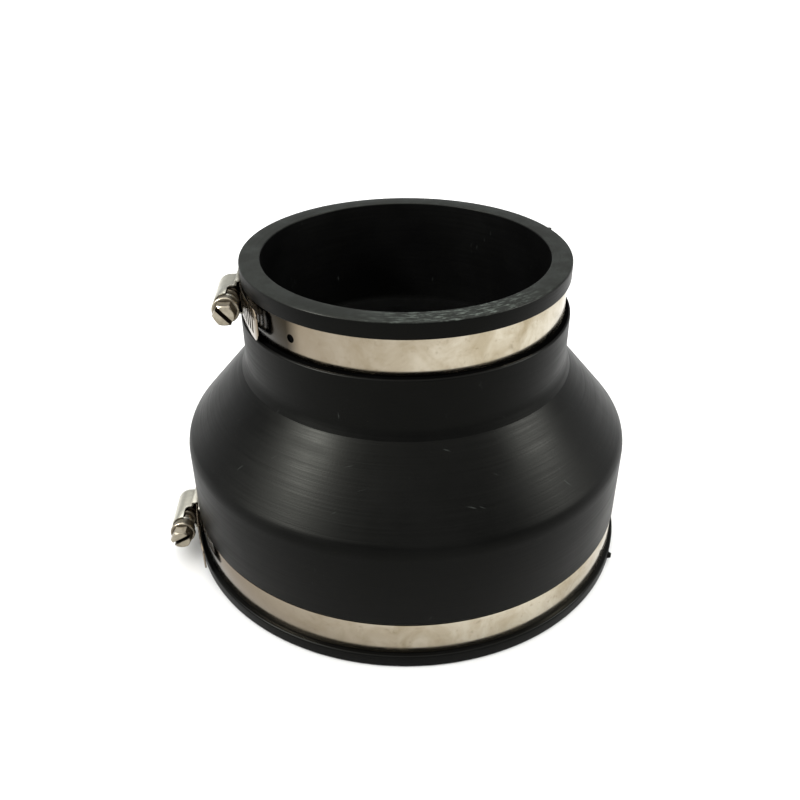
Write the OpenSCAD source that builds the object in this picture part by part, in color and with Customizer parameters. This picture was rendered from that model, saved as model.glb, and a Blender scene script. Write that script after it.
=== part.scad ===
// Flexible reducing coupling for two plain pipe ends, with a worm-drive band clamp on each end.
// Millimetres. +Z runs from the large end, which stands on Z = 0, to the small end.

/* [Rubber sleeve] */
// Overall height, large face to small face
sleeve_h = 130.5; // [126:0.5:136]
// Radius of the small bore, which takes a 114.3 mm pipe
small_bore_r = 57.25; // [54:0.25:58]
// Radius of the large bore, which takes a 168.3 mm pipe
large_bore_r = 84.25; // [80:0.25:85]
// Outer radius of the lip at the small end
small_lip_r = 65.6; // [65:0.1:66.2]
// Height of the lip at the small end
small_lip_h = 6.7; // [5:0.1:8]
// Outer radius of the lip at the large end
large_lip_r = 95.7; // [95:0.1:96.5]
// Height of the lip at the large end
large_lip_h = 5.6; // [5:0.1:7]
// Floor radius of the band groove at the small end
small_groove_r = 63.45; // [62.5:0.05:63.8]
// Floor radius of the band groove at the large end
large_groove_r = 93.1; // [92.5:0.05:93.4]
// Width of both band grooves
groove_w = 14.8; // [14.6:0.1:15.4]
// Outer radius of the neck below the small groove
neck_r = 66.6; // [66:0.1:67.4]
// Radius where the neck flares into the cone
flare_r = 68.6; // [68:0.1:70]
// Height of that flare
flare_z = 85; // [82:0.5:88]
// Outer radius of the skirt
skirt_r = 94.2; // [93.8:0.1:94.8]
// Height of the shoulder between cone and skirt
shoulder_z = 55; // [50:0.5:58]
// Wall thickness of the cone
cone_wall = 9.4; // [8:0.2:10]

/* [Bands] */
// Width of the plain part of each band
band_w = 14.2; // [13.6:0.1:14.4]
// Thickness of the band strip
band_t = 0.65; // [0.5:0.05:0.7]
// Width of the slotted tail
tail_w = 12.7; // [12:0.1:12.8]
// Arc length of the small clamp's tail past the middle of its screw
small_tail_out = 37; // [34:0.5:42]
// Arc length of the large clamp's tail past the middle of its screw
large_tail_out = 39.5; // [34:0.5:44]
// Radius of the round hole in the plain part
band_hole_r = 1.65; // [1:0.05:2]

/* [Worm screw] */
// Pitch of the worm thread and of the tail's slots
pitch = 3.2; // [3.2:0.1:3.4]
// Crest radius of the worm thread
crest_r = 4.3; // [4.2:0.05:4.4]
// Root radius of the worm thread
root_r = 3.2; // [3.1:0.05:3.3]
// How far the thread reaches into the slots
bite = 0.5; // [0.3:0.05:0.55]
// Hexagon head, across flats
head_af = 7.94; // [7:0.02:8]
// Radius of the flange behind the head
flange_r = 5.3; // [5:0.1:5.6]
// Lean of the small clamp's screw away from the pipe, head end outwards
small_lean = 1.5; // [1:0.5:2]
// Lean of the large clamp's screw away from the pipe, head end outwards
large_lean = 4; // [3:0.5:4]
// Turn of the screwdriver slot, small clamp
small_slot_turn = 131; // [0:1:180]
// Turn of the screwdriver slot, large clamp
large_slot_turn = 28; // [0:1:180]

/* [Clamp positions] */
// Compass angle of the small clamp's screw
small_clamp_turn = 185; // [0:1:360]
// Compass angle of the large clamp's screw
large_clamp_turn = 187.4; // [0:0.2:360]

/* [Hidden] */
$fn = 96;
rubber_black = [0.14, 0.15, 0.14];
band_steel = [0.72, 0.69, 0.63];
press_steel = [0.76, 0.76, 0.73];
screw_steel = [0.66, 0.65, 0.60];

// sleeve, worked from the two ends
small_groove_top = sleeve_h - small_lip_h;
small_groove_bottom = small_groove_top - groove_w;
large_groove_bottom = large_lip_h;
large_groove_top = large_lip_h + groove_w;
small_band_z = small_groove_top - groove_w / 2;
large_band_z = large_groove_bottom + groove_w / 2;
flare_h = 4;
cone_len = norm([skirt_r - flare_r, flare_z - shoulder_z]);
cone_drop = (flare_z - shoulder_z) / (skirt_r - flare_r);
bore_line_r = flare_r - cone_wall * (flare_z - shoulder_z) / cone_len;
bore_line_z = flare_z - cone_wall * (skirt_r - flare_r) / cone_len;
small_bore_end = bore_line_z + (bore_line_r - small_bore_r) * cone_drop;
large_bore_end = bore_line_z + (bore_line_r - large_bore_r) * cone_drop;

// clamp, worked outwards from the band
band_gap = 0.1;          // band to groove floor
saddle_t = 0.9;
saddle_back = 10;        // arc lengths of the saddle behind and ahead of the screw's middle
saddle_front = 13;
tail_gap = 0.3;          // tail to saddle
band_lead = 8;           // arc length of band under the saddle
band_end_turn = 300;     // turn at which the fixed part of the strip ends
tail_start_turn = 270;   // turn at which the moving part of the strip starts
small_spring_from = 14;  // arc length where the tail starts to spring away from the band
large_spring_from = 5;
small_spring_r = 130;    // its radius from there
large_spring_r = 180;
tail_clip = 2.4;
tail_facets = 72;
slot_w = 1.75;
slot_len = 8.4;
slot_first_gap = 4.5;    // plain metal left at the tip
slots = 34;
slot_lean = atan(pitch / (2 * PI * crest_r));
hole_arc = 50;

thread_from = -3.3;
thread_to = 11.5;
thread_step = 15;
crest_flat = 0.75;
root_flat = 1.5;
core_from = -4.3;
neck_from = 12.4;
neck_radius = 2.9;
plate_from = 14.3;
plate_to = 15.5;
plate_foot = 4.2;        // screw axis to the flat foot of the front plate
neck_room = 0.08;
shank_from = 15.6;
shank_r = 4.6;
flange_from = 18.6;
flange_to = 20.2;
head_to = 25;
head_bevel = 0.7;
bevel_out = 0.55;        // bevel cone, beyond and within half the width across flats
bevel_in = 0.25;
drive_slot_w = 1.7;
drive_slot_d = 2.4;

shell_r = 5.25;          // outside of the housing's arch
shell_t = 0.65;
shell_back = -2.5;       // centre of the rounded back end
wall_front = 8;          // front of the side walls
foot_back = -8;
foot_half = 7.1;
leg_t = 0.6;
shoulder_gap = 0.35;     // tail to the housing's shoulders

function unit(v) = v / norm(v);
function arc_deg(length, r) = length / r * 180 / PI;
function corner(a, b, c, r, n) =
    let (u = unit(a - b), v = unit(c - b), half = acos(u * v) / 2,
         m = b + unit(u + v) * r / sin(half),
         p = b + u * r / tan(half) - m, q = b + v * r / tan(half) - m,
         s = atan2(p.y, p.x), turn = (atan2(q.y, q.x) - s + 540) % 360 - 180)
    [for (i = [0:n]) m + r * [cos(s + turn * i / n), sin(s + turn * i / n)]];
// points given as [radius, height, rounding]
function rounded(pts, n = 5) =
    [for (i = [0:len(pts) - 1])
        let (k = len(pts), a = pts[(i + k - 1) % k], b = pts[i], c = pts[(i + 1) % k])
        each b[2] == 0 ? [[b.x, b.y]] : corner([a.x, a.y], [b.x, b.y], [c.x, c.y], b[2], n)];

function tail_in_r(groove_r) = groove_r + band_gap + band_t + saddle_t + tail_gap;
function tail_out_r(groove_r) = tail_in_r(groove_r) + band_t;
function screw_r(groove_r) = tail_out_r(groove_r) - bite + crest_r;
function slot_r(groove_r) = tail_out_r(groove_r) - bite / 2;

module at_small_end() { translate([0, 0, small_band_z]) rotate([0, 0, small_clamp_turn]) children(); }
module at_large_end() { translate([0, 0, large_band_z]) rotate([0, 0, large_clamp_turn]) children(); }
// lean a child about the screw's middle
module leaning(groove_r, lean) {
    translate([screw_r(groove_r), 0, 0]) rotate([0, 0, -lean])
        translate([-screw_r(groove_r), 0, 0]) children();
}
// along the screw: the local +Z of the children runs towards the screw's head
module on_screw(groove_r, lean) {
    leaning(groove_r, lean) translate([screw_r(groove_r), 0, 0]) rotate([-90, 0, 0]) children();
}
module arc_strip(r, t, w, from, to) {
    rotate([0, 0, from]) rotate_extrude(angle = to - from)
        translate([r, -w / 2]) square([t, w]);
}

module rubber_sleeve() {
    color(rubber_black) rotate_extrude() polygon(rounded([
        [small_bore_r, sleeve_h, 0.6],
        [small_lip_r, sleeve_h, 0.8],
        [small_lip_r, small_groove_top, 0.4],
        [small_groove_r, small_groove_top, 0.3],
        [small_groove_r, small_groove_bottom, 0.3],
        [neck_r, small_groove_bottom, 0.8],
        [neck_r, flare_z + flare_h, 8],
        [flare_r, flare_z, 0.5],
        [skirt_r, shoulder_z, 9],
        [skirt_r, large_groove_top, 1],
        [large_groove_r, large_groove_top, 0],
        [large_groove_r, large_groove_bottom, 0.3],
        [large_lip_r, large_groove_bottom, 0.8],
        [large_lip_r, 0, 1],
        [large_bore_r, 0, 0.8],
        [large_bore_r, large_bore_end, 6],
        [small_bore_r, small_bore_end, 6]]));
}

module band(groove_r) {
    arc_strip(groove_r + band_gap, band_t, band_w, -arc_deg(band_lead, groove_r + band_gap), band_end_turn);
}

// a point of the tail at turn t and height h above its inner face: on the ring, or past the
// spring turn on a wider arc that leaves the ring without a kink
function tail_point(r, spring_turn, spring_r, t, h) =
    let (a = min(t, spring_turn), b = a + max(0, t - spring_turn) * r / spring_r)
    (r - spring_r) * [cos(a), sin(a)] + (spring_r + h) * [cos(b), sin(b)];
function tail_heading(r, spring_turn, spring_r, t) =
    min(t, spring_turn) + max(0, t - spring_turn) * r / spring_r;

module on_tail(r, spring_turn, spring_r, t) {
    translate(tail_point(r, spring_turn, spring_r, t, 0))
        rotate([0, 0, tail_heading(r, spring_turn, spring_r, t)]) children();
}

module tail(groove_r, out, spring_from, spring_r) {
    r = tail_in_r(groove_r);
    spring_turn = arc_deg(spring_from, r);
    tip = arc_deg(out, r);
    start = tail_start_turn - 360;
    slot_step = arc_deg(pitch, slot_r(groove_r));
    last = floor((out - slot_first_gap) / pitch);
    turns = [for (i = [0:tail_facets]) start + (tip - start) * i / tail_facets];
    difference() {
        translate([0, 0, -tail_w / 2]) linear_extrude(height = tail_w) polygon(concat(
            [for (t = turns) tail_point(r, spring_turn, spring_r, t, 0)],
            [for (i = [tail_facets:-1:0]) tail_point(r, spring_turn, spring_r, turns[i], band_t)]));
        for (k = [last - slots + 1:last])
            on_tail(r, spring_turn, spring_r, k * slot_step)
                rotate([-slot_lean, 0, 0]) cube([4, slot_w, slot_len], center = true);
        // clipped corners of the tip
        on_tail(r, spring_turn, spring_r, tip) for (side = [-1, 1])
            translate([0, 0, side * tail_w / 2]) rotate([45, 0, 0])
                cube([4, tail_clip * sqrt(2), tail_clip * sqrt(2)], center = true);
    }
}

module saddle(groove_r) {
    r = groove_r + band_gap + band_t;
    arc_strip(r, saddle_t, band_w, -arc_deg(saddle_back, r), arc_deg(saddle_front, r));
}

// solid of the arch, its rounded back end and its side walls
module arch(groove_r, r, floor_x) {
    axis_x = screw_r(groove_r);
    translate([0, shell_back, 0]) {
        translate([axis_x, 0, 0]) {
            sphere(r = r);
            rotate([-90, 0, 0]) cylinder(r = r, h = plate_to - shell_back);
        }
        translate([floor_x, 0, 0]) rotate([0, 90, 0]) cylinder(r = r, h = axis_x - floor_x);
        translate([floor_x, 0, -r]) cube([axis_x - floor_x, wall_front - shell_back, 2 * r]);
    }
}

module housing(groove_r, lean) {
    axis_x = screw_r(groove_r);
    floor_x = tail_out_r(groove_r) + shoulder_gap;
    saddle_out = groove_r + band_gap + band_t + saddle_t;
    leaning(groove_r, lean) difference() {
        union() {
            arch(groove_r, shell_r, floor_x);
            translate([floor_x, foot_back, -foot_half])
                cube([shell_t, wall_front - foot_back, 2 * foot_half]);
        }
        arch(groove_r, shell_r - shell_t, floor_x - 1);
        // nothing below the shoulders, and ahead of the side walls only the outer half of the arch
        translate([floor_x - 2 * shell_r, shell_back - 2 * shell_r, -shell_r - 1])
            cube([2 * shell_r, 40, 2 * shell_r + 2]);
        translate([axis_x - 2 * shell_r, wall_front, -shell_r - 1])
            cube([2 * shell_r, 20, 2 * shell_r + 2]);
    }
    for (side = [-1, 1]) difference() {
        leaning(groove_r, lean)
            translate([saddle_out - 3, foot_back, side > 0 ? foot_half - leg_t : -foot_half])
                cube([floor_x + shell_t - saddle_out + 3, wall_front - foot_back, leg_t]);
        translate([0, 0, -foot_half - 1]) cylinder(r = saddle_out, h = 2 * foot_half + 2);
    }
    // front plate that the screw's neck turns in
    on_screw(groove_r, lean) translate([0, 0, plate_from]) difference() {
        cylinder(r = shell_r - shell_t, h = plate_to - plate_from);
        translate([0, 0, -1]) cylinder(r = neck_radius + neck_room, h = 4);
        translate([-shell_r - plate_foot, -shell_r, -1]) cube([shell_r, 2 * shell_r, 4]);
    }
}

// one ridge, wound right-handed, with both ends faded into the core
module thread() {
    from = thread_from * 360 / pitch;
    to = thread_to * 360 / pitch;
    steps = floor((to - from) / thread_step);
    in_r = root_r - 0.1;
    points = [for (i = [0:steps])
        let (t = from + i * thread_step, fade = min(1, i / 8, (steps - i) / 8),
             out_r = in_r + 0.02 + (crest_r - in_r - 0.02) * fade, y = pitch * t / 360)
        for (p = [[in_r, -root_flat / 2], [out_r, -crest_flat / 2],
                  [out_r, crest_flat / 2], [in_r, root_flat / 2]])
            [-p.x * cos(t), -p.x * sin(t), y + p.y]];
    faces = concat([[3, 2, 1, 0]],
        [for (i = [0:steps - 1], k = [0:3])
            let (a = 4 * i + k, b = 4 * i + (k + 1) % 4)
            each [[a, b, b + 4], [a, b + 4, a + 4]]],
        [[for (k = [0:3]) 4 * steps + k]]);
    polyhedron(points, faces, convexity = 8);
}

module screw(groove_r, lean, slot_turn) {
    on_screw(groove_r, lean) {
        thread();
        translate([0, 0, core_from]) cylinder(r = root_r, h = neck_from - core_from);
        translate([0, 0, neck_from]) cylinder(r = neck_radius, h = shank_from - neck_from);
        translate([0, 0, shank_from]) cylinder(r = shank_r, h = flange_from - shank_from);
        translate([0, 0, flange_from]) cylinder(r = flange_r, h = flange_to - flange_from);
        difference() {
            translate([0, 0, flange_to]) rotate([0, 0, 30])
                cylinder(d = head_af / cos(30), h = head_to - flange_to, $fn = 6);
            // bevelled rim of the head
            translate([0, 0, head_to - head_bevel]) difference() {
                cylinder(r = head_af, h = head_bevel + 1);
                translate([0, 0, -0.01])
                    cylinder(r1 = head_af / 2 + bevel_out, r2 = head_af / 2 - bevel_in, h = head_bevel + 0.02);
            }
            rotate([0, 0, slot_turn]) translate([-head_af, -drive_slot_w / 2, head_to - drive_slot_d])
                cube([2 * head_af, drive_slot_w, drive_slot_d + 1]);
        }
    }
}

module small_clamp_band() {
    color(band_steel) at_small_end() difference() {
        band(small_groove_r);
        rotate([0, 0, arc_deg(hole_arc, small_groove_r)]) translate([small_groove_r - 1, 0, 0])
            rotate([0, 90, 0]) cylinder(r = band_hole_r, h = band_t + 2);
    }
}
module small_clamp_tail() {
    color(band_steel) at_small_end()
        tail(small_groove_r, small_tail_out, small_spring_from, small_spring_r);
}
module small_clamp_saddle() { color(press_steel) at_small_end() saddle(small_groove_r); }
module small_clamp_housing() { color(press_steel) at_small_end() housing(small_groove_r, small_lean); }
module small_clamp_screw() { color(screw_steel) at_small_end() screw(small_groove_r, small_lean, small_slot_turn); }
module large_clamp_band() { color(band_steel) at_large_end() band(large_groove_r); }
module large_clamp_tail() {
    color(band_steel) at_large_end()
        tail(large_groove_r, large_tail_out, large_spring_from, large_spring_r);
}
module large_clamp_saddle() { color(press_steel) at_large_end() saddle(large_groove_r); }
module large_clamp_housing() { color(press_steel) at_large_end() housing(large_groove_r, large_lean); }
module large_clamp_screw() { color(screw_steel) at_large_end() screw(large_groove_r, large_lean, large_slot_turn); }

rubber_sleeve();
small_clamp_band();
small_clamp_tail();
small_clamp_saddle();
small_clamp_housing();
small_clamp_screw();
large_clamp_band();
large_clamp_tail();
large_clamp_saddle();
large_clamp_housing();
large_clamp_screw();
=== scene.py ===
import math

import bmesh
import bpy
from mathutils import Matrix, Vector


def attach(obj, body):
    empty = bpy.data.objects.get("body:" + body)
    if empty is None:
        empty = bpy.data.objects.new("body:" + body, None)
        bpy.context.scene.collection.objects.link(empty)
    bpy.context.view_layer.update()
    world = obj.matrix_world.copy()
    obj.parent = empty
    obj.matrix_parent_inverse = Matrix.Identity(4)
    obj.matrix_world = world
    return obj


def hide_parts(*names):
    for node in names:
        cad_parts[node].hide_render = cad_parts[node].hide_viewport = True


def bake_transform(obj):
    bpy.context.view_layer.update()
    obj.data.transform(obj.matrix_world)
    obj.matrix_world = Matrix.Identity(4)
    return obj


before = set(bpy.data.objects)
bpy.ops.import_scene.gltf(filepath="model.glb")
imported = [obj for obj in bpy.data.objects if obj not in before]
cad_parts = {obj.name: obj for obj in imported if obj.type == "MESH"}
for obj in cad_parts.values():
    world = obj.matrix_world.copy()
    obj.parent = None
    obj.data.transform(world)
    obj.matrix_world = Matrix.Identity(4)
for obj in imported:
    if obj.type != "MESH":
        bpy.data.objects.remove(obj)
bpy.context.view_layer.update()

MM = 0.001
# how close counts as the same, in millimetres: vertices to merge, places to pick by, and exact
DOUBLES = 1e-4
NEAR = 0.01
TOUCH = 1e-6

# ---------------------------------------------------------------- sizes, in millimetres, as in the model
SLEEVE_H = 130.5
SMALL_BORE_R = 57.25
LARGE_BORE_R = 84.25
SMALL_LIP_R = 65.6
LARGE_LIP_R = 95.7
NECK_R = 66.6
FLARE_R = 68.6
FLARE_Z = 85.0
SKIRT_R = 94.2
SHOULDER_Z = 55.0
CONE_WALL = 9.4
GROOVE_W = 14.8
SMALL_GROOVE_TOP = SLEEVE_H - 6.7
LARGE_GROOVE_BOTTOM = 5.6
SMALL_GROOVE_R = 63.45
LARGE_GROOVE_R = 93.1

# the strip, its saddle, its slots and its tag hole
BAND_GAP = 0.1
BAND_T = 0.65
BAND_W = 14.2
TAIL_W = 12.7
SADDLE_T = 0.9
TAIL_GAP = 0.3
BITE = 0.5
PITCH = 3.2
CREST_R = 4.3
ROOT_R = 3.2
SLOT_W = 1.75
SLOT_LEN = 8.4
SLOTS = 34
SLOT_CUT = 3
SLOT_CORNER_R = 0.35
LAST_SLOT_FROM_TIP = 4.5
HOLE_ARC = 50.0
HOLE_R = 1.65
STRIP_EDGE_R = 0.14
TIP_CLIP, TIP_R = 2.4, 1.1

# along the strip, past the screw's middle: where the plain half starts under the saddle, where the tail
# climbs off the ring, and where it narrows to its own width
BAND_FROM = -8.0
CLIMB_FROM, CLIMB_TO = -34.0, -19.0
NARROW_FROM, NARROW_TO = -88.0, -78.0
BEND_STEP = 1.6

# the saddle plate, along the strip too
SADDLE_MID, SADDLE_LEN = 1.5, 23.0
SADDLE_CORNER_R, SADDLE_EDGE_R = 1.6, 0.16
SADDLE_STEP = 1.4

# the pressed housing and its front plate, along the screw from its middle
SHELL_R = 5.25
SHELL_T = 0.65
SHELL_BACK = -2.5
SHELL_EDGE_R = 0.12
FOLD_R = 0.7
FOLDS_BEYOND = 3.0
WALL_FRONT = 8.0
WINDOW_R = 2.2
FOOT_BACK = -8.0
FOOT_HALF = 7.1
SHOULDER_GAP = 0.35
PLATE_FROM, PLATE_TO = 14.3, 15.5
PLATE_FOOT = -4.2
PLATE_PRESS_FIT = 0.02
NECK_ROOM = 0.08

# the screw, along its own line from its middle towards its head
SCREW_END = -4.3
NECK_FROM, NECK_R_SCREW = 12.4, 2.9
SHANK_FROM, SHANK_R = 15.6, 4.6
FLANGE_FROM, FLANGE_TO, FLANGE_R = 18.6, 20.2, 5.3
HEAD_TO, HEAD_AF, HEAD_BEVEL = 25.0, 7.94, 0.7
HEAD_SUNK, HEAD_EDGE_R = 0.4, 0.12
DRIVE_W, DRIVE_D = 1.7, 2.4
THREAD_FROM, THREAD_TO = -3.3, 11.5
THREAD_FOOT, THREAD_TOP, THREAD_CREST_R = 0.75, 0.375, 0.15
THREAD_FADE, THREAD_FADE_PAST = 1.3, 0.7
THREAD_STEP = 7.5


class Clamp:
    """One worm-drive clamp's place and the radii that follow from its groove.

    turn and lean are in degrees; tail_out, spring_from and the reach of the painted shadow and dark
    reflection on the band are millimetres of strip past the screw's middle, and the tail springs off the
    ring on an arc of spring_r."""

    def __init__(self, end, groove_r, z, turn, lean, tail_out, spring_from, spring_r, slot_turn, shade_arc):
        self.end = end
        self.band_r = groove_r + BAND_GAP
        self.saddle_r = self.band_r + BAND_T
        self.tail_r = self.saddle_r + SADDLE_T + TAIL_GAP
        self.screw_r = self.tail_r + BAND_T - BITE + CREST_R
        self.slot_r = self.tail_r + BAND_T - BITE / 2
        self.tail_out = tail_out
        self.spring_from = spring_from
        self.spring_r = spring_r
        self.slot_turn = slot_turn
        self.shade_arc = shade_arc
        self.place = Matrix.Translation((0, 0, z)) @ Matrix.Rotation(math.radians(turn), 4, "Z")
        out = Matrix.Translation((self.screw_r, 0, 0))
        self.lean = out @ Matrix.Rotation(math.radians(-lean), 4, "Z") @ out.inverted()
        # along the screw, +Z towards its head
        self.on_screw = self.place @ self.lean @ out @ Matrix.Rotation(math.radians(-90), 4, "X")


SMALL = Clamp("small", SMALL_GROOVE_R, SMALL_GROOVE_TOP - GROOVE_W / 2, turn=185.0, lean=1.5,
              tail_out=37.0, spring_from=14.0, spring_r=130.0, slot_turn=131, shade_arc=49.0)
LARGE = Clamp("large", LARGE_GROOVE_R, LARGE_GROOVE_BOTTOM + GROOVE_W / 2, turn=187.4, lean=4.0,
              tail_out=39.5, spring_from=5.0, spring_r=180.0, slot_turn=28, shade_arc=38.0)


# ---------------------------------------------------------------- small helpers
def srgb(code):
    """An sRGB hex colour as linear RGBA."""
    parts = [int(code[i:i + 2], 16) / 255 for i in (1, 3, 5)]
    return [c / 12.92 if c <= 0.04045 else ((c + 0.055) / 1.055) ** 2.4 for c in parts] + [1.0]


def add(tree, kind, inputs=None, give=0, **settings):
    """Adds a shader node and gives back one output; an input is a value, a hex colour or an output."""
    n = tree.nodes.new("ShaderNode" + kind)
    for key, value in settings.items():
        setattr(n, key, value)
    for key, value in (inputs or {}).items():
        if isinstance(value, bpy.types.NodeSocket):
            tree.links.new(value, n.inputs[key])
        else:
            n.inputs[key].default_value = srgb(value) if isinstance(value, str) else value
    return n.outputs[give]


def per_mm(size):
    """Texture scale that makes a feature of this many millimetres."""
    return 1000.0 / size


def near(a, b, by=NEAR):
    """Whether two places agree."""
    return abs(a - b) < by


def finish_mesh(bm, name, material, place=None, smooth_angle=35, turn_out=True):
    """Turns a bmesh in millimetres into an object in metres, at the origin."""
    bmesh.ops.remove_doubles(bm, verts=bm.verts, dist=DOUBLES)
    if turn_out:
        bmesh.ops.recalc_face_normals(bm, faces=bm.faces)
    if place is not None:
        bmesh.ops.transform(bm, matrix=place, verts=bm.verts)
    bmesh.ops.scale(bm, vec=(MM, MM, MM), verts=bm.verts)
    piece = plain_object(bm, name)
    piece.data.materials.append(material)
    piece.data.shade_smooth()
    piece.data.set_sharp_from_angle(angle=math.radians(smooth_angle))
    return piece


def plain_object(bm, name):
    """A bmesh as an object of the scene, as it stands."""
    mesh = bpy.data.meshes.new(name)
    bm.to_mesh(mesh)
    bm.free()
    o = bpy.data.objects.new(name, mesh)
    bpy.context.scene.collection.objects.link(o)
    return o


def belongs(piece, body, node):
    """Puts a piece on its body, in place of its node in the model."""
    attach(piece, body)
    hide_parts(node)


def cut(bm, cutter_bm, operation="DIFFERENCE"):
    """Boolean of two bmeshes, given back as a new bmesh."""
    a, b = plain_object(bm, "work"), plain_object(cutter_bm, "cutter")
    m = a.modifiers.new("cut", "BOOLEAN")
    m.operation, m.solver, m.object = operation, "EXACT", b
    bpy.context.view_layer.update()
    done = bpy.data.meshes.new_from_object(a.evaluated_get(bpy.context.evaluated_depsgraph_get()))
    out = bmesh.new()
    out.from_mesh(done)
    for o in (a, b):
        mesh = o.data
        bpy.data.objects.remove(o)
        bpy.data.meshes.remove(mesh)
    bpy.data.meshes.remove(done)
    return out


def box_in(bm, centre, size, turn=None):
    """Adds a box, turned about its own middle, and gives back its vertices."""
    made = bmesh.ops.create_cube(bm, size=1.0)["verts"]
    bmesh.ops.scale(bm, vec=size, verts=made)
    if turn is not None:
        bmesh.ops.transform(bm, matrix=turn, verts=made)
    bmesh.ops.translate(bm, vec=centre, verts=made)
    return made


def rounded_outline(corners, steps=6):
    """Corners given as (across, up, rounding) with each corner drawn as an arc."""
    out = []
    count = len(corners)
    for i, (x, y, r) in enumerate(corners):
        here = Vector((x, y))
        if r == 0:
            out.append(here)
            continue
        to_last = (Vector(corners[i - 1][:2]) - here).normalized()
        to_next = (Vector(corners[(i + 1) % count][:2]) - here).normalized()
        half = to_last.angle(to_next) / 2
        centre = here + (to_last + to_next).normalized() * r / math.sin(half)
        start = here + to_last * r / math.tan(half) - centre
        turn = math.pi - 2 * half
        side = -1 if to_last.cross(to_next) > 0 else 1
        for k in range(steps + 1):
            a = side * turn * k / steps
            out.append(centre + Vector((start.x * math.cos(a) - start.y * math.sin(a),
                                        start.x * math.sin(a) + start.y * math.cos(a))))
    return out


def spun(outline, steps, closed=True):
    """Spins an outline of (radius, height) once round Z."""
    bm = bmesh.new()
    verts = [bm.verts.new((p[0], 0, p[1])) for p in outline]
    edges = [bm.edges.new(pair) for pair in zip(verts, verts[1:])]
    if closed:
        edges.append(bm.edges.new((verts[-1], verts[0])))
    bmesh.ops.spin(bm, geom=verts + edges, cent=(0, 0, 0), axis=(0, 0, 1), dvec=(0, 0, 0),
                   angle=math.tau, steps=steps, use_merge=True, use_duplicate=False)
    bmesh.ops.remove_doubles(bm, verts=bm.verts, dist=DOUBLES)
    bmesh.ops.recalc_face_normals(bm, faces=bm.faces)
    return bm


def round_these(bm, edges, width, segments):
    """Rounds the edges given."""
    bmesh.ops.bevel(bm, geom=edges, offset=width, offset_type="OFFSET", segments=segments, profile=0.5,
                    affect="EDGES", material=-1)


def round_edges(bm, width, segments=2, angle=30):
    """Rounds every edge sharper than the angle, in degrees."""
    edges = [e for e in bm.edges if len(e.link_faces) == 2 and e.calc_face_angle(0) > math.radians(angle)]
    bmesh.ops.bevel(bm, geom=edges, offset=width, offset_type="OFFSET", segments=segments,
                    profile=0.5, affect="EDGES", material=-1, clamp_overlap=True)


def slice_at(bm, point, outward, clear=False, dist=DOUBLES):
    """Cuts a bmesh across with a plane, and clears what lies outside it if asked."""
    bmesh.ops.bisect_plane(bm, geom=bm.verts[:] + bm.edges[:] + bm.faces[:], plane_co=point, plane_no=outward,
                           clear_outer=clear, dist=dist)


def open_edges(bm, picks):
    """The edges with one face whose two ends are picked."""
    return [e for e in bm.edges if len(e.link_faces) == 1 and all(picks(v) for v in e.verts)]


def draw_out(bm, picks, by, skip=None):
    """Extrudes the open edges whose two ends are picked, unless both ends are skipped, and moves them."""
    edges = [e for e in open_edges(bm, picks) if not (skip and all(skip(v) for v in e.verts))]
    made = bmesh.ops.extrude_edge_only(bm, edges=edges)["geom"]
    made = [g for g in made if isinstance(g, bmesh.types.BMVert)]
    bmesh.ops.translate(bm, vec=by, verts=made)
    return made


# ---------------------------------------------------------------- materials
def principled(name):
    """A new material, its node tree and its shader."""
    m = bpy.data.materials.new(name)
    m.use_nodes = True
    return m, m.node_tree, m.node_tree.nodes["Principled BSDF"]


def place_on(tree):
    """A point's place on the piece, its X, Y and Z, its turn about the axis and its distance from it."""
    where = add(tree, "TexCoord", give="Object")
    xyz = add(tree, "SeparateXYZ", {"Vector": where}).node.outputs
    turn = add(tree, "Math", {0: xyz["Y"], 1: xyz["X"]}, operation="ARCTAN2")
    flat = add(tree, "CombineXYZ", {"X": xyz["X"], "Y": xyz["Y"]})
    out = add(tree, "VectorMath", {0: flat}, give="Value", operation="LENGTH")
    return where, xyz, turn, out


# the worn top face's heights in metres, the turn of its rubs in degrees, how far inside a groove's floor its
# painted shade reaches in millimetres, and the rubber's weak gloss
RUBBED_FROM, RUBBED_TO = 0.1290, 0.1303
RUBS_TURN = -72
GROOVE_REACH = 2.0
RUBBER_SHINE = 0.052


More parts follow.
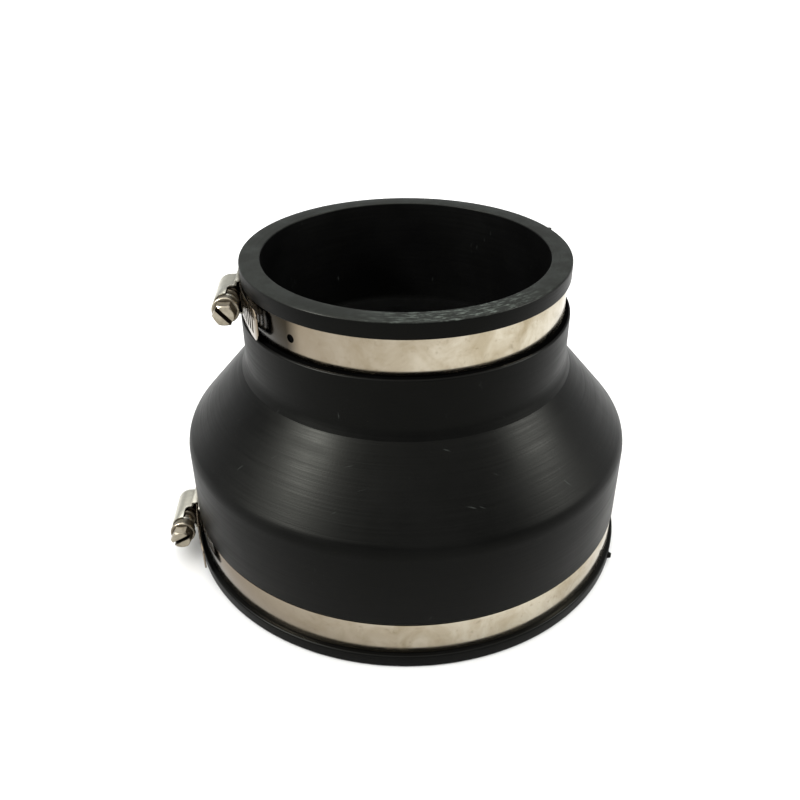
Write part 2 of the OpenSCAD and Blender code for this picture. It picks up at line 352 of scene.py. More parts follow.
def moulded_rubber():
    """Compression-moulded black EPDM: near black, satin, with a faint grey bloom, fine rings left by the
    mould's turned surface and light scuffs; the trimmed top face is paler and worn by rubbing."""
    m, t, shader = principled("moulded_epdm_rubber")
    where, xyz, turn, out = place_on(t)
    up = xyz["Z"]
    # the mould's turning rings: fine across the surface and long round it, but coarser than real ones so
    # that they show
    ring_at = add(t, "CombineXYZ", {
        "X": add(t, "Math", {0: up, 1: per_mm(1.1)}, operation="MULTIPLY"),
        "Y": add(t, "Math", {0: out, 1: per_mm(1.1)}, operation="MULTIPLY"),
        "Z": add(t, "Math", {0: turn, 1: 1.6}, operation="MULTIPLY")})
    rings = add(t, "TexNoise", {"Vector": ring_at, "Scale": 1.0, "Detail": 4.0, "Roughness": 0.6})
    bloom = add(t, "TexNoise", {"Vector": where, "Scale": per_mm(38), "Detail": 5.0, "Roughness": 0.62})
    grain = add(t, "TexNoise", {"Vector": where, "Scale": per_mm(0.7), "Detail": 3.0})
    bloomed = add(t, "MapRange", {"Value": bloom, "From Min": 0.35, "From Max": 0.75})
    colour = add(t, "Mix", {"Factor": bloomed, "A": "#020202", "B": "#040404"}, "Result", data_type="RGBA")
    # the top face, worn by rubbing
    normal = add(t, "NewGeometry", give="Normal")
    facing_up = add(t, "MapRange", {"Value": add(t, "SeparateXYZ", {"Vector": normal}, "Z"),
                                    "From Min": 0.35, "From Max": 0.9})
    high = add(t, "MapRange", {"Value": up, "From Min": RUBBED_FROM, "From Max": RUBBED_TO})
    top = add(t, "Math", {0: high, 1: facing_up}, operation="MULTIPLY")
    worn = add(t, "TexNoise", {"Vector": where, "Scale": per_mm(9), "Detail": 6.0, "Roughness": 0.7})
    worn = add(t, "MapRange", {"Value": worn, "From Min": 0.45, "From Max": 0.75})
    top_face = add(t, "Mix", {"Factor": worn, "A": "#151614", "B": "#1f211f"}, "Result", data_type="RGBA")
    colour = add(t, "Mix", {"Factor": top, "A": colour, "B": top_face}, "Result", data_type="RGBA")
    # chalky rubs on the front of the top face, drawn out round it
    rub_at = add(t, "CombineXYZ", {"X": add(t, "Math", {0: out, 1: per_mm(0.9)}, operation="MULTIPLY"),
                                   "Y": add(t, "Math", {0: turn, 1: 14.0}, operation="MULTIPLY")})
    rub = add(t, "TexNoise", {"Vector": rub_at, "Scale": 1.0, "Detail": 5.0, "Roughness": 0.7})
    rub = add(t, "MapRange", {"Value": rub, "From Min": 0.50, "From Max": 0.68, "To Max": 0.75})
    aside = add(t, "Math", {0: turn, 1: math.radians(RUBS_TURN)}, operation="SUBTRACT")
    aside = add(t, "Math", {0: aside}, operation="ABSOLUTE")
    front = add(t, "MapRange", {"Value": aside, "From Min": 0.65, "From Max": 0.2})
    rub = add(t, "Math", {0: rub, 1: front}, operation="MULTIPLY")
    rub = add(t, "Math", {0: rub, 1: top}, operation="MULTIPLY")
    colour = add(t, "Mix", {"Factor": rub, "A": colour, "B": "#4c524c"}, "Result", data_type="RGBA")
    # scuffs: short pale strokes where stretched noise peaks
    scuff_at = add(t, "Mapping", {"Vector": where, "Rotation": (0.5, 0.3, 0.8),
                                  "Scale": (per_mm(9), per_mm(0.8), per_mm(9))})
    scuff = add(t, "TexNoise", {"Vector": scuff_at, "Scale": 1.0, "Detail": 2.0})
    scuff = add(t, "MapRange", {"Value": scuff, "From Min": 0.73, "From Max": 0.84, "To Max": 0.12})
    colour = add(t, "Mix", {"Factor": scuff, "A": colour, "B": "#6d726d"}, "Result", data_type="RGBA")
    t.links.new(colour, shader.inputs["Base Color"])
    # painted shade: the grooves lose all their shine, so that they read as shadowed
    in_small, in_large = (
        add(t, "Math", {0: up, 1: middle * MM, 2: GROOVE_W / 2 * MM}, operation="COMPARE")
        for middle in (SMALL_GROOVE_TOP - GROOVE_W / 2, LARGE_GROOVE_BOTTOM + GROOVE_W / 2))
    floor_r = add(t, "MapRange", {"Value": in_large, "To Min": (SMALL_GROOVE_R - GROOVE_REACH) * MM,
                                  "To Max": (LARGE_GROOVE_R - GROOVE_REACH) * MM})
    groove = add(t, "Math", {0: add(t, "Math", {0: in_small, 1: in_large}, operation="MAXIMUM"),
                             1: add(t, "Math", {0: out, 1: floor_r}, operation="GREATER_THAN")},
                 operation="MULTIPLY")
    shine = add(t, "MapRange", {"Value": groove, "To Min": RUBBER_SHINE, "To Max": 0.0})
    t.links.new(shine, shader.inputs["Specular IOR Level"])
    shader.inputs["Specular Tint"].default_value = srgb("#fbfcef")
    smooth = add(t, "MapRange", {"Value": bloom, "From Min": 0.3, "From Max": 0.75,
                                 "To Min": 0.25, "To Max": 0.35})
    rough = add(t, "Math", {0: smooth, 1: add(t, "Math", {0: rings, 1: 0.20}, operation="MULTIPLY")},
                operation="ADD")
    t.links.new(rough, shader.inputs["Roughness"])
    height = add(t, "Math", {0: rings, 1: add(t, "Math", {0: grain, 1: 0.25}, operation="MULTIPLY")},
                 operation="ADD")
    bump = add(t, "Bump", {"Strength": 0.30, "Distance": 0.12 * MM, "Height": height})
    t.links.new(bump, shader.inputs["Normal"])
    return m


def rolled_strip():
    """Bright cold-rolled stainless strip: warm silver, fine grain along its length, dulled by smears of
    handling, with painted shade darkening it towards the clamps' side and, where the mesh carries them,
    a painted shadow and dark reflection by the clamp."""
    m, t, shader = principled("rolled_stainless_strip")
    where, xyz, turn, out = place_on(t)
    # rolling grain, drawn coarser than the real one so that it shows
    grain_at = add(t, "CombineXYZ", {
        "X": add(t, "Math", {0: xyz["Z"], 1: per_mm(0.35)}, operation="MULTIPLY"),
        "Y": add(t, "Math", {0: turn, 1: 3.0}, operation="MULTIPLY")})
    grain = add(t, "TexNoise", {"Vector": grain_at, "Scale": 1.0, "Detail": 3.0})
    smear = add(t, "TexNoise", {"Vector": where, "Scale": per_mm(14), "Detail": 6.0, "Roughness": 0.65,
                                "Distortion": 0.6})
    smeared = add(t, "MapRange", {"Value": smear, "From Min": 0.40, "From Max": 0.70})
    tone = add(t, "Mix", {"Factor": smeared, "A": "#b6ae9d", "B": "#93876f"}, "Result", data_type="RGBA")
    spots = add(t, "TexNoise", {"Vector": where, "Scale": per_mm(3.2), "Detail": 4.0, "Roughness": 0.7})
    spots = add(t, "MapRange", {"Value": spots, "From Min": 0.58, "From Max": 0.72, "To Max": 0.6})
    tone = add(t, "Mix", {"Factor": spots, "A": tone, "B": "#7a6e59"}, "Result", data_type="RGBA")
    # painted shade: darker and browner towards −X, the clamps' side of the ring
    side = add(t, "Math", {0: xyz["X"], 1: out}, operation="DIVIDE")
    clamp_side_shade = add(t, "MapRange", {"Value": side, "From Min": 0.45, "From Max": -0.75})
    tone = add(t, "Mix", {"Factor": clamp_side_shade, "A": tone, "B": "#74695a"}, "Result", data_type="RGBA")
    # painted shadow and dark reflection by the clamps, darkest nearest them, as the mesh marks it
    shade_deep = add(t, "Attribute", give="Fac", attribute_name="clamp_shade_depth")
    shade_tone = add(t, "Mix", {"Factor": shade_deep, "A": "#2b251b", "B": "#100e0a"}, "Result", data_type="RGBA")
    clamp_shade = add(t, "Attribute", give="Fac", attribute_name="clamp_shade")
    tone = add(t, "Mix", {"Factor": clamp_shade, "A": tone, "B": shade_tone}, "Result", data_type="RGBA")
    t.links.new(tone, shader.inputs["Base Color"])
    shader.inputs["Metallic"].default_value = 1.0
    rough = add(t, "MapRange", {"Value": smear, "From Min": 0.35, "From Max": 0.7,
                                "To Min": 0.13, "To Max": 0.25})
    t.links.new(rough, shader.inputs["Roughness"])
    bump = add(t, "Bump", {"Strength": 0.12, "Distance": 0.04 * MM, "Height": grain})
    t.links.new(bump, shader.inputs["Normal"])
    return m


def pressed_sheet(name, pale, dull, rough_low, rough_high):
    """Stainless after pressing or heading: duller than the strip, with darker smears and a faint pebble,
    which is drawn coarser than the real one so that it shows."""
    m, t, shader = principled(name)
    where = add(t, "TexCoord", give="Object")
    smear = add(t, "TexNoise", {"Vector": where, "Scale": per_mm(5), "Detail": 5.0, "Roughness": 0.65})
    smeared = add(t, "MapRange", {"Value": smear, "From Min": 0.38, "From Max": 0.68})
    tone = add(t, "Mix", {"Factor": smeared, "A": pale, "B": dull}, "Result", data_type="RGBA")
    # painted shade: a brown-tinted darkening wherever ambient occlusion finds the slots and corners hemmed in
    corner = add(t, "AmbientOcclusion", {"Distance": 2.5 * MM}, give="AO", samples=8)
    corner = add(t, "MapRange", {"Value": corner, "From Min": 0.45, "From Max": 0.88,
                                 "To Min": 1.0, "To Max": 0.0})
    tone = add(t, "Mix", {"Factor": corner, "A": tone, "B": "#2a2118"}, "Result", data_type="RGBA")
    t.links.new(tone, shader.inputs["Base Color"])
    shader.inputs["Metallic"].default_value = 1.0
    rough = add(t, "MapRange", {"Value": smear, "From Min": 0.35, "From Max": 0.7,
                                "To Min": rough_low, "To Max": rough_high})
    t.links.new(rough, shader.inputs["Roughness"])
    pebble = add(t, "TexNoise", {"Vector": where, "Scale": per_mm(0.5), "Detail": 3.0})
    bump = add(t, "Bump", {"Strength": 0.2, "Distance": 0.04 * MM, "Height": pebble})
    t.links.new(bump, shader.inputs["Normal"])
    return m


RUBBER = moulded_rubber()
STRIP = rolled_strip()
PRESSED = pressed_sheet("pressed_stainless_sheet", "#b6b4a8", "#9f9c90", 0.34, 0.48)
HEADED = pressed_sheet("headed_steel_screw", "#958e7f", "#6a6254", 0.30, 0.46)


# ---------------------------------------------------------------- the rubber sleeve
def flash_nub(bm, turn, r, z, size):
    """A torn stub of moulding flash on a lip's rim, about half as wide and thick at its end and a little
    to one side."""
    made = box_in(bm, (0, 0, 0), size)
    for v in made:
        if v.co.x > 0:
            v.co.y, v.co.z = v.co.y * 0.45 + 0.1 * size[1], v.co.z * 0.5
    bmesh.ops.translate(bm, vec=(r, 0, z), verts=made)
    bmesh.ops.rotate(bm, verts=made, cent=(0, 0, 0), matrix=Matrix.Rotation(math.radians(turn), 3, "Z"))


def rubber_sleeve():
    """The whole moulding, spun from one outline, the cone's inside following its outside at CONE_WALL."""
    slope = (FLARE_Z - SHOULDER_Z) / (SKIRT_R - FLARE_R)
    run = math.hypot(SKIRT_R - FLARE_R, FLARE_Z - SHOULDER_Z)
    line_r = FLARE_R - CONE_WALL * (FLARE_Z - SHOULDER_Z) / run
    line_z = FLARE_Z - CONE_WALL * (SKIRT_R - FLARE_R) / run
    small_end = line_z + (line_r - SMALL_BORE_R) * slope
    large_end = line_z + (line_r - LARGE_BORE_R) * slope
    small_floor = SMALL_GROOVE_TOP - GROOVE_W
    large_top = LARGE_GROOVE_BOTTOM + GROOVE_W
    outline = rounded_outline([
        (SMALL_BORE_R, SLEEVE_H, 0.6),
        (SMALL_LIP_R, SLEEVE_H, 0.8),
        (SMALL_LIP_R, SMALL_GROOVE_TOP, 0.5),
        (SMALL_GROOVE_R, SMALL_GROOVE_TOP, 0.3),
        (SMALL_GROOVE_R, small_floor, 0.3),
        (NECK_R, small_floor, 0.8),
        (NECK_R, FLARE_Z + 4, 8),
        (FLARE_R, FLARE_Z, 0.5),
        (SKIRT_R, SHOULDER_Z, 9),
        (SKIRT_R, large_top, 1.0),
        (LARGE_GROOVE_R, large_top, 0),
        (LARGE_GROOVE_R, LARGE_GROOVE_BOTTOM, 0.3),
        (LARGE_LIP_R, LARGE_GROOVE_BOTTOM, 0.8),
        (LARGE_LIP_R, 0, 1.0),
        (LARGE_BORE_R, 0, 0.8),
        (LARGE_BORE_R, large_end, 6),
        (SMALL_BORE_R, small_end, 6)])
    bm = spun(outline, 256)
    flash_nub(bm, turn=22, r=SMALL_LIP_R + 0.1, z=SLEEVE_H - 0.65, size=(1.8, 2.2, 1.0))
    flash_nub(bm, turn=-22.9, r=LARGE_LIP_R + 0.2, z=3.2, size=(2.4, 2.2, 3.4))
    piece = finish_mesh(bm, "rubber_sleeve_moulding", RUBBER)
    belongs(piece, "sleeve", "rubber_sleeve")


# ---------------------------------------------------------------- strips
def flat_strip(length_from, length_to, width, tip=0.0):
    """A strip lying along X, its inner face on Y = 0, its width along Z, with long edges softened."""
    half = width / 2
    bm = bmesh.new()
    corners = [(length_from, -half), (length_to - tip, -half), (length_to, -half + tip),
               (length_to, half - tip), (length_to - tip, half), (length_from, half)]
    if tip == 0:
        corners = [(length_from, -half), (length_to, -half), (length_to, half), (length_from, half)]
    face = bm.faces.new([bm.verts.new((x, 0, z)) for x, z in corners])
    made = bmesh.ops.extrude_face_region(bm, geom=[face])["geom"]
    bmesh.ops.translate(bm, vec=(0, BAND_T, 0), verts=[v for v in made if isinstance(v, bmesh.types.BMVert)])
    if tip:
        clipped = [e for e in bm.edges if near(e.verts[0].co.x, e.verts[1].co.x, TOUCH)
                   and near(e.verts[0].co.z, e.verts[1].co.z, TOUCH)
                   and e.verts[0].co.x > length_to - tip - NEAR]
        round_these(bm, clipped, TIP_R, 4)
    bmesh.ops.recalc_face_normals(bm, faces=bm.faces)
    ends = (length_from,) if tip else (length_from, length_to)
    long_edges = [e for e in bm.edges if near(e.verts[0].co.y, e.verts[1].co.y, TOUCH)
                  and e.calc_face_angle(0) > math.radians(35)
                  and not any(all(near(v.co.x, end, TOUCH) for v in e.verts) for end in ends)]
    round_these(bm, long_edges, STRIP_EDGE_R, 2)
    return bm


def bend_strip(bm, step, point):
    """Slices a flat strip every step millimetres and carries each vertex onto its curve."""
    low = min(v.co.x for v in bm.verts)
    high = max(v.co.x for v in bm.verts)
    at = low + step
    while at < high - 0.2 * step:
        slice_at(bm, (at, 0, 0), (1, 0, 0))
        at += step
    for v in bm.verts:
        v.co = point(v.co.x, v.co.y, v.co.z)


def on_ring(r):
    """Carries a flat strip on to a ring of inner radius r."""
    return lambda x, y, z: Vector(((r + y) * math.cos(x / r), (r + y) * math.sin(x / r), z))


def smooth_step(a, b, x):
    """0 before a and 1 after b, with an S-curve between."""
    u = min(1.0, max(0.0, (x - a) / (b - a)))
    return u * u * (3 - 2 * u)


def tail_path(clamp, x, height, z):
    """A point of the tail x millimetres of arc past the screw's middle: narrowing, climbing on to the
    saddle, then springing away from the ring."""
    r = clamp.band_r + (clamp.tail_r - clamp.band_r) * smooth_step(CLIMB_FROM, CLIMB_TO, x)
    turn = x / clamp.tail_r
    wide = z * (1 + (BAND_W / TAIL_W - 1) * (1 - smooth_step(NARROW_FROM, NARROW_TO, x)))
    spring = clamp.spring_from / clamp.tail_r
    if turn <= spring:
        return Vector(((r + height) * math.cos(turn), (r + height) * math.sin(turn), wide))
    past = spring + (turn - spring) * clamp.tail_r / clamp.spring_r
    back = clamp.tail_r - clamp.spring_r
    return Vector((back * math.cos(spring) + (clamp.spring_r + height) * math.cos(past),
                   back * math.sin(spring) + (clamp.spring_r + height) * math.sin(past), wide))


def slotted_tail(clamp):
    """The moving half of the strip: from the far side, over the saddle, through the housing, to its tip."""
    bm = flat_strip(-math.pi * clamp.tail_r, clamp.tail_out, TAIL_W, tip=TIP_CLIP)
    cutters = bmesh.new()
    lean = Matrix.Rotation(math.atan(PITCH / (2 * math.pi * CREST_R)), 4, "Y")
    last = math.floor((clamp.tail_out - LAST_SLOT_FROM_TIP) / PITCH)
    for k in range(last - SLOTS + 1, last + 1):
        at = k * PITCH * clamp.tail_r / clamp.slot_r
        made = box_in(cutters, (at, BAND_T / 2, 0), (SLOT_W, SLOT_CUT, SLOT_LEN), lean)
        ends = [e for e in {e for v in made for e in v.link_edges}
                if abs(e.verts[0].co.y - e.verts[1].co.y) > SLOT_CUT / 2]
        round_these(cutters, ends, SLOT_CORNER_R, 2)
    bm = cut(bm, cutters)
    bend_strip(bm, BEND_STEP, lambda x, y, z: tail_path(clamp, x, y, z))
    piece = finish_mesh(bm, clamp.end + "_clamp_slotted_strip", STRIP, clamp.place)
    belongs(piece, clamp.end + "_tail", clamp.end + "_clamp_tail")


# in radians round the ring: how far the painted shade's fading edge runs on, its width, and the way to full
# depth
SHADE_PAST = 0.09
SHADE_FADE = 0.10
SHADE_DEEPENS = 0.35


def paint_clamp_shade(mesh, clamp):
    """Marks a painted shadow and dark reflection on the ring, from the clamp to the set reach round, darkest
    by the clamp.
    """
    clamp_shade = mesh.attributes.new("clamp_shade", "FLOAT", "POINT").data
    depth = mesh.attributes.new("clamp_shade_depth", "FLOAT", "POINT").data
    to_clamp = clamp.place.inverted()
    for v in mesh.vertices:
        at = to_clamp @ (v.co / MM)
        past = math.atan2(at.y, at.x) - clamp.shade_arc / clamp.band_r
        if at.y > 0:
            clamp_shade[v.index].value = min(1.0, max(0.0, (SHADE_PAST - past) / SHADE_FADE))
            depth[v.index].value = min(1.0, max(0.0, -past / SHADE_DEEPENS))


def plain_band(clamp, holed):
    """The fixed half of the strip, from under the saddle round to the far side, where the tail carries on."""
    bm = flat_strip(BAND_FROM, math.pi * clamp.band_r, BAND_W)
    if holed:
        punch = bmesh.new()
        bmesh.ops.create_cone(
            punch, cap_ends=True, segments=40, radius1=HOLE_R, radius2=HOLE_R, depth=4,
            matrix=Matrix.Translation((HOLE_ARC, 0, 0)) @ Matrix.Rotation(math.pi / 2, 4, "X"))
        bm = cut(bm, punch)
    bend_strip(bm, BEND_STEP, on_ring(clamp.band_r))
    piece = finish_mesh(bm, clamp.end + "_clamp_plain_strip", STRIP, clamp.place)
    paint_clamp_shade(piece.data, clamp)
    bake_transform(piece)
    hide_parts(clamp.end + "_clamp_band")


# ---------------------------------------------------------------- saddle, housing and screw
def saddle(clamp):
    """The curved plate under the tail that the housing stands on."""
    bm = bmesh.new()
    box_in(bm, (SADDLE_MID, SADDLE_T / 2, 0), (SADDLE_LEN, SADDLE_T, BAND_W))
    upright = [e for e in bm.edges if abs(e.verts[0].co.y - e.verts[1].co.y) > SADDLE_T / 2]
    round_these(bm, upright, SADDLE_CORNER_R, 4)
    round_edges(bm, SADDLE_EDGE_R)
    bend_strip(bm, SADDLE_STEP, on_ring(clamp.saddle_r))
    piece = finish_mesh(bm, clamp.end + "_clamp_saddle_plate", PRESSED, clamp.place)
    belongs(piece, clamp.end + "_clamp", clamp.end + "_clamp_saddle")


def housing(clamp):
    """Pressed cover: an arch with a rounded back end, shoulders over the strip, legs down to the saddle."""
    axis_x = clamp.screw_r
    shoulder_x = clamp.tail_r + BAND_T + SHOULDER_GAP + SHELL_T
    weld = 10 * DOUBLES
    bm = bmesh.new()
    bmesh.ops.create_uvsphere(
        bm, u_segments=48, v_segments=24, radius=SHELL_R,
        matrix=Matrix.Translation((axis_x, SHELL_BACK, 0)) @ Matrix.Rotation(math.pi / 2, 4, "X"))
    slice_at(bm, (0, SHELL_BACK, 0), (0, 1, 0), clear=True, dist=weld)
    slice_at(bm, (axis_x, 0, 0), (-1, 0, 0), clear=True, dist=weld)
    bmesh.ops.remove_doubles(bm, verts=bm.verts, dist=weld)

    def front(v):
        return near(v.co.y, WALL_FRONT)

    def front_corner(v):
        return front(v) and axis_x - WINDOW_R - NEAR < v.co.x < axis_x + NEAR

    # the arch, then the walls down from its rim, then the arch alone on to the front plate
    draw_out(bm, lambda v: near(v.co.y, SHELL_BACK), (0, WALL_FRONT - SHELL_BACK, 0))
    draw_out(bm, lambda v: near(v.co.x, axis_x), (-WINDOW_R, 0, 0))
    draw_out(bm, lambda v: near(v.co.x, axis_x - WINDOW_R), (shoulder_x - axis_x + WINDOW_R, 0, 0))
    draw_out(bm, lambda v: front(v) and v.co.x > axis_x - NEAR, (0, WINDOW_R, 0))
    draw_out(bm, lambda v: near(v.co.y, WALL_FRONT + WINDOW_R), (0, PLATE_TO - WALL_FRONT - WINDOW_R, 0))
    # the walls meet the arch in a rounded corner
    bmesh.ops.subdivide_edges(bm, edges=open_edges(bm, front_corner), cuts=6)
    for v in draw_out(bm, front_corner, (0, 0, 0)):
        v.co.y += WINDOW_R - math.sqrt(max(0, WINDOW_R ** 2 - (v.co.x - axis_x + WINDOW_R) ** 2))
    bmesh.ops.remove_doubles(bm, verts=bm.verts, dist=weld)
    # the shoulders spread outwards from the foot of the walls
    for v in draw_out(bm, lambda v: near(v.co.x, shoulder_x), (0, 0, 0), skip=front):
        y, z = v.co.y - SHELL_BACK, v.co.z
        if y > -NEAR:
            v.co.z = math.copysign(FOOT_HALF, z)
        else:
            grow = min(FOOT_HALF / max(abs(z), 1e-6), (FOOT_BACK - SHELL_BACK) / y)
            v.co.y, v.co.z = SHELL_BACK + y * grow, z * grow
    bmesh.ops.transform(bm, matrix=clamp.lean, verts=bm.verts)
    for v in draw_out(bm, lambda v: near(abs(v.co.z), FOOT_HALF), (0, 0, 0)):
        v.co.x = math.sqrt((clamp.saddle_r + SADDLE_T) ** 2 - v.co.y ** 2)
    bmesh.ops.recalc_face_normals(bm, faces=bm.faces)
    if max(bm.faces, key=lambda f: f.calc_center_median().x).normal.x < 0:
        bmesh.ops.reverse_faces(bm, faces=bm.faces)
    folds = [e for e in bm.edges if len(e.link_faces) == 2 and e.calc_face_angle(0) > math.radians(50)
             and all(abs(v.co.z) > FOLDS_BEYOND for v in e.verts)]
    bmesh.ops.bevel(bm, geom=folds, offset=FOLD_R, offset_type="OFFSET", segments=4, profile=0.5,
                    affect="EDGES", material=-1, clamp_overlap=True)
    piece = finish_mesh(bm, clamp.end + "_clamp_pressed_housing", PRESSED, clamp.place, turn_out=False)
    sheet = piece.modifiers.new("sheet", "SOLIDIFY")
    sheet.thickness, sheet.offset, sheet.use_even_offset = SHELL_T * MM, -1, True
    edge = piece.modifiers.new("sheared edge", "BEVEL")
    edge.width, edge.segments, edge.angle_limit = SHELL_EDGE_R * MM, 2, math.radians(55)
    belongs(piece, clamp.end + "_clamp", clamp.end + "_clamp_housing")

    # the front plate that the screw's neck turns in, its foot cut flat over the strip
    hole_r, rim_r = NECK_R_SCREW + NECK_ROOM, SHELL_R - SHELL_T + PLATE_PRESS_FIT
    plate = spun(rounded_outline([(hole_r, PLATE_FROM, 0.1), (rim_r, PLATE_FROM, 0.1),
                                  (rim_r, PLATE_TO, 0.1), (hole_r, PLATE_TO, 0.1)], 2), 48)
    slice_at(plate, (PLATE_FOOT, 0, 0), (-1, 0, 0), clear=True)
    bmesh.ops.holes_fill(plate, edges=[e for e in plate.edges if len(e.link_faces) == 1])
    piece = finish_mesh(plate, clamp.end + "_clamp_front_plate", PRESSED, clamp.on_screw)
    belongs(piece, clamp.end + "_clamp", clamp.end + "_clamp_housing")


def worm_thread():
    """One rolled ridge, wound right-handed about Z and faded out at both ends."""
    start, stop = THREAD_FROM * 360 / PITCH, THREAD_TO * 360 / PITCH
    steps = int((stop - start) / THREAD_STEP)
    inner = ROOT_R - 0.1
    bm = bmesh.new()
    outline = rounded_outline([(inner, -THREAD_FOOT, 0), (CREST_R, -THREAD_TOP, THREAD_CREST_R),
                               (CREST_R, THREAD_TOP, THREAD_CREST_R), (inner, THREAD_FOOT, 0)], 2)
    ring = [bm.verts.new((-p.x, 0, p.y + start * PITCH / 360)) for p in outline]
    edges = [bm.edges.new((ring[i], ring[(i + 1) % len(ring)])) for i in range(len(ring))]
    bmesh.ops.rotate(bm, verts=ring, cent=(0, 0, 0), matrix=Matrix.Rotation(math.radians(start), 3, "Z"))
    bmesh.ops.spin(bm, geom=ring + edges, cent=(0, 0, 0), axis=(0, 0, 1),
                   dvec=(0, 0, THREAD_STEP * PITCH / 360), angle=math.radians(THREAD_STEP * steps),
                   steps=steps, use_merge=False, use_duplicate=False)
    bmesh.ops.holes_fill(bm, edges=[e for e in bm.edges if len(e.link_faces) == 1])
    faded_from, faded_to = THREAD_FROM - THREAD_FADE_PAST, THREAD_TO + THREAD_FADE_PAST
    for v in bm.verts:
        r = math.hypot(v.co.x, v.co.y)
        if r > inner + NEAR:
            fade = min(1.0, (v.co.z - faded_from) / THREAD_FADE, (faded_to - v.co.z) / THREAD_FADE)
            new = inner + (r - inner) * max(0.02, fade)
            v.co.x, v.co.y = v.co.x * new / r, v.co.y * new / r
    bmesh.ops.recalc_face_normals(bm, faces=bm.faces)
    return bm


def screw(clamp):
    """Worm, neck, shank, flange and slotted hexagon head in one piece, along Z and then laid in place."""
    body = spun(rounded_outline([
        (0, SCREW_END, 0), (ROOT_R, SCREW_END, 0.6), (ROOT_R, NECK_FROM, 0.2), (NECK_R_SCREW, NECK_FROM, 0),
        (NECK_R_SCREW, SHANK_FROM, 0), (SHANK_R, SHANK_FROM, 0.25), (SHANK_R, FLANGE_FROM, 0.2),
        (FLANGE_R, FLANGE_FROM, 0.3), (FLANGE_R, FLANGE_TO, 0.45), (0, FLANGE_TO, 0)], 3), 64, closed=False)
    head = bmesh.new()
    corner_r = HEAD_AF / 2 / math.cos(math.pi / 6)
    bmesh.ops.create_cone(head, cap_ends=True, segments=6, radius1=corner_r, radius2=corner_r,
                          depth=HEAD_TO - FLANGE_TO + HEAD_SUNK,
                          matrix=Matrix.Translation((0, 0, (HEAD_TO + FLANGE_TO - HEAD_SUNK) / 2))
                          @ Matrix.Rotation(math.radians(30), 4, "Z"))
    # the rounded-off end that heading leaves on a hexagon
    crown = spun([Vector(p) for p in [
        (0, FLANGE_TO - 2), (6, FLANGE_TO - 2), (6, HEAD_TO - 2.2),
        (HEAD_AF / 2 + 0.45, HEAD_TO - HEAD_BEVEL), (HEAD_AF / 2 - 0.25, HEAD_TO - 0.08),
        (2.0, HEAD_TO), (0, HEAD_TO)]], 64, closed=False)
    head = cut(head, crown, "INTERSECT")
    slot = bmesh.new()
    box_in(slot, (0, 0, HEAD_TO - DRIVE_D / 2 + 0.5), (2.4 * HEAD_AF, DRIVE_W, DRIVE_D + 1),
           Matrix.Rotation(math.radians(clamp.slot_turn), 4, "Z"))
    head = cut(head, slot)
    round_edges(head, HEAD_EDGE_R, angle=25)
    for other in (head, worm_thread()):
        part = bpy.data.meshes.new("part")
        other.to_mesh(part)
        other.free()
        body.from_mesh(part)
        bpy.data.meshes.remove(part)
    bmesh.ops.transform(body, matrix=clamp.on_screw, verts=body.verts)
    piece = finish_mesh(body, clamp.end + "_clamp_worm_screw", HEADED)
    belongs(piece, clamp.end + "_screw", clamp.end + "_clamp_screw")


rubber_sleeve()
for clamp in (SMALL, LARGE):
    plain_band(clamp, holed=clamp is SMALL)
    slotted_tail(clamp)
    saddle(clamp)
    housing(clamp)
    screw(clamp)


# ---------------------------------------------------------------- floor, light and camera, in metres
FLOOR_HALF = 9.0
AIM = Vector((0, 0, 0.06))
SCRIM_POWER, SCRIM_SPREAD = 5.2, 100
WALLS_TO, CEILING_FROM = 0.20, 0.35
WALL_LIGHT, CEILING_LIGHT = 0.95, 0.12
CAMERA_AT = Vector((-0.00246, 0, 0.0605))
CAMERA_DISTANCE = 0.3639
CAMERA_UP, CAMERA_ROLL = math.radians(31.5), math.radians(-0.26)
SENSOR, LENS = 36.0, 37.18


def softbox(name, direction, distance, size, power):
    """A round white light of this size and distance, facing the object."""
    lamp = bpy.data.lights.new(name, "AREA")
    lamp.shape, lamp.size, lamp.energy = "DISK", size, power
    o = bpy.data.objects.new(name, lamp)
    way = Vector(direction).normalized()
    o.location = AIM + way * distance
    o.rotation_euler = way.to_track_quat("Z", "Y").to_euler()
    bpy.context.scene.collection.objects.link(o)
    return o


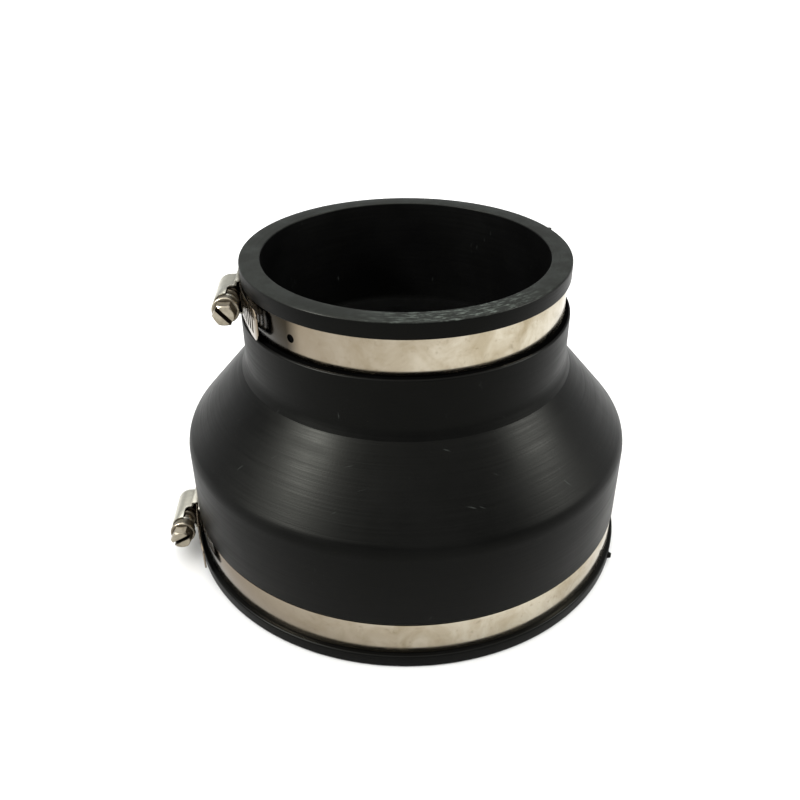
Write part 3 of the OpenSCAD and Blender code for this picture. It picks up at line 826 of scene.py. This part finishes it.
floor_mesh = bmesh.new()
bmesh.ops.create_grid(floor_mesh, x_segments=1, y_segments=1, size=FLOOR_HALF)
floor = plain_object(floor_mesh, "floor")
paper, paper_tree, paper_shader = principled("matt_white_paper")
paper_shader.inputs["Base Color"].default_value = srgb("#f4f4f2")
paper_shader.inputs["Roughness"].default_value = 0.9
paper_shader.inputs["Specular IOR Level"].default_value = 0.1
floor.data.materials.append(paper)

world = bpy.data.worlds.new("studio")
world.use_nodes = True
room = world.node_tree
sky = room.nodes["Background"]
sky.inputs["Color"].default_value = srgb("#f2f4f6")
# pale walls to about 12 degrees above the floor, then a dim ceiling from about 20
way_up = add(room, "SeparateXYZ", {"Vector": add(room, "TexCoord", give="Generated")}, "Z")
glow = add(room, "MapRange", {"Value": way_up, "From Min": WALLS_TO, "From Max": CEILING_FROM,
                              "To Min": WALL_LIGHT, "To Max": CEILING_LIGHT})
room.links.new(glow, sky.inputs["Strength"])
bpy.context.scene.world = world

left_softbox = softbox("left_softbox", (-0.71, -0.36, 0.59), distance=0.9, size=0.20, power=21)
right_softbox = softbox("right_softbox", (0.87, -0.12, 0.48), distance=0.9, size=0.22, power=10.5)

# the softboxes are flagged off the paper, so that it stays even
flagged = bpy.data.collections.new("flagged_paper")
flagged.objects.link(floor)
flagged.collection_objects[0].light_linking.link_state = "EXCLUDE"
for lit in (left_softbox, right_softbox):
    lit.light_linking.receiver_collection = flagged

# a wide scrim overhead keeps the paper white all round
scrim = bpy.data.lights.new("overhead_scrim", "SUN")
scrim.energy, scrim.angle = SCRIM_POWER, math.radians(SCRIM_SPREAD)
bpy.context.scene.collection.objects.link(bpy.data.objects.new("overhead_scrim", scrim))

back = Vector((0, -math.cos(CAMERA_UP), math.sin(CAMERA_UP)))
right = Vector((1, 0, 0))
up = back.cross(right)
across = right * math.cos(CAMERA_ROLL) + up * math.sin(CAMERA_ROLL)
upright = up * math.cos(CAMERA_ROLL) - right * math.sin(CAMERA_ROLL)
lens = bpy.data.cameras.new("camera")
lens.sensor_width, lens.lens, lens.clip_start = SENSOR, LENS, 0.01
camera = bpy.data.objects.new("camera", lens)
bpy.context.scene.collection.objects.link(camera)
turned = Matrix((across, upright, back)).transposed().to_4x4()
camera.matrix_world = Matrix.Translation(CAMERA_AT + back * CAMERA_DISTANCE) @ turned
bpy.context.scene.camera = camera
bpy.context.scene.view_settings.view_transform = "Standard"
